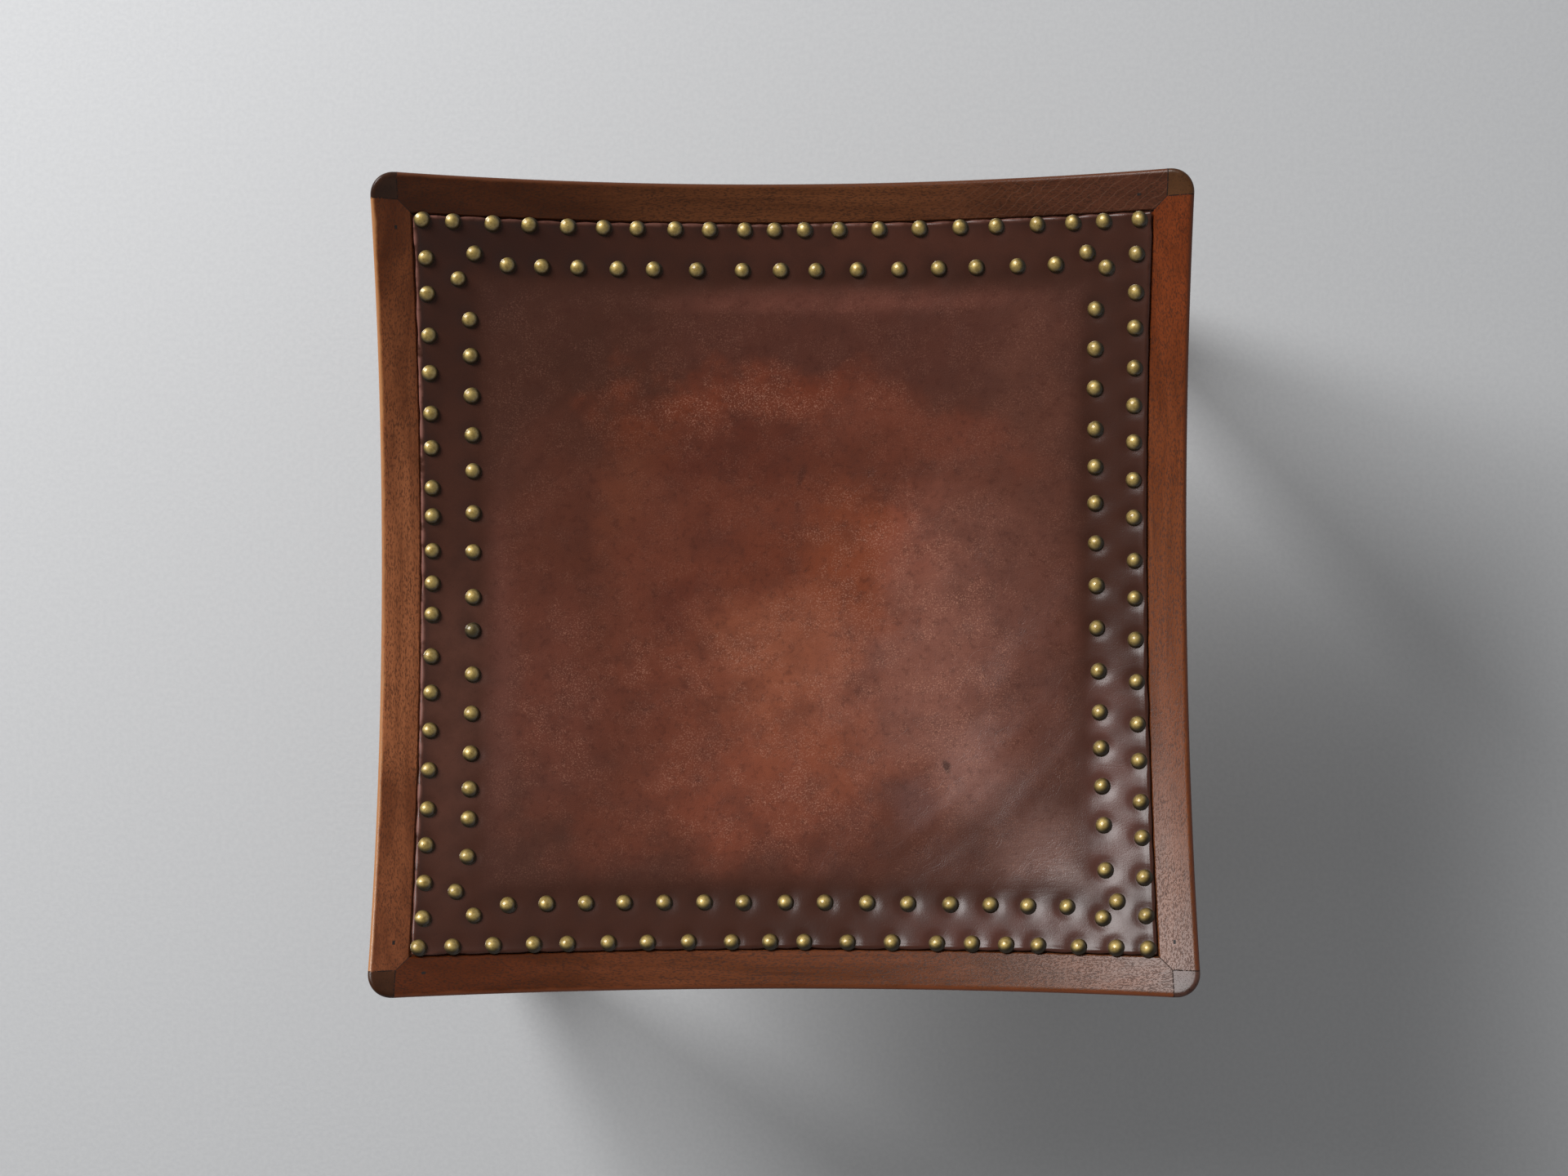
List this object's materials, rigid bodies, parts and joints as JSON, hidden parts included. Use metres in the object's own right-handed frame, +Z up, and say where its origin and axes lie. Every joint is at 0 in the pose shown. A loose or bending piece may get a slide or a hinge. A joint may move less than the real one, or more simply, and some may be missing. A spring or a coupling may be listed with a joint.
{
  "type": "stool",
  "caption": "Square wooden stool with curved rails that rise to the corner posts, tapered legs and a dished leather seat held by rows of brass dome nails.",
  "frame": {"origin": "on the floor, below the middle of the seat", "axes": "+Z up through the middle of the seat, +X to the right and +Y to the back as seen from the front; the front is the lower edge in the picture, and the seat is square so each side could be the front"},
  "size_m": [0.48, 0.48, 0.3946],
  "materials": {
    "leg_wood": "waxed, worn, darker end grain at the corner posts",
    "rail_wood": "waxed reddish brown with fine dark pores, redder on the worn outer edge",
    "plain_wood": "sawn, unfinished, dusty",
    "leather": "aged brown hide, dark at the edges and redder where it is worn, soft sheen",
    "brass": "aged, dull gold",
    "iron": "blackened, rough",
    "steel": "dull, a little rust",
    "webbing": "tight plain weave, jute",
    "hessian": "open plain weave, jute",
    "stuffing": "matted hair under a calico wrap"
  },
  "bodies": {
    "root": {"leg_front_left": "leg_wood", "leg_front_right": "leg_wood", "leg_back_right": "leg_wood", "leg_back_left": "leg_wood", "rail_front": "rail_wood", "rail_right": "rail_wood", "rail_back": "rail_wood", "rail_left": "rail_wood", "joint_brads": "iron", "batten_front": "plain_wood", "batten_right": "plain_wood", "batten_back": "plain_wood", "batten_left": "plain_wood", "corner_block_front_left": "plain_wood", "corner_block_front_right": "plain_wood", "corner_block_back_right": "plain_wood", "corner_block_back_left": "plain_wood", "corner_block_screws": "steel", "webbing_side_to_side": "webbing", "webbing_front_to_back": "webbing", "webbing_tacks": "iron", "hessian": "hessian", "seat_pad": "stuffing", "leather_cover": "leather", "outer_nails_front": "brass", "inner_nails_front": "brass", "outer_nails_right": "brass", "inner_nails_right": "brass", "outer_nails_back": "brass", "inner_nails_back": "brass", "outer_nails_left": "brass", "inner_nails_left": "brass"}
  },
  "joints": []
}
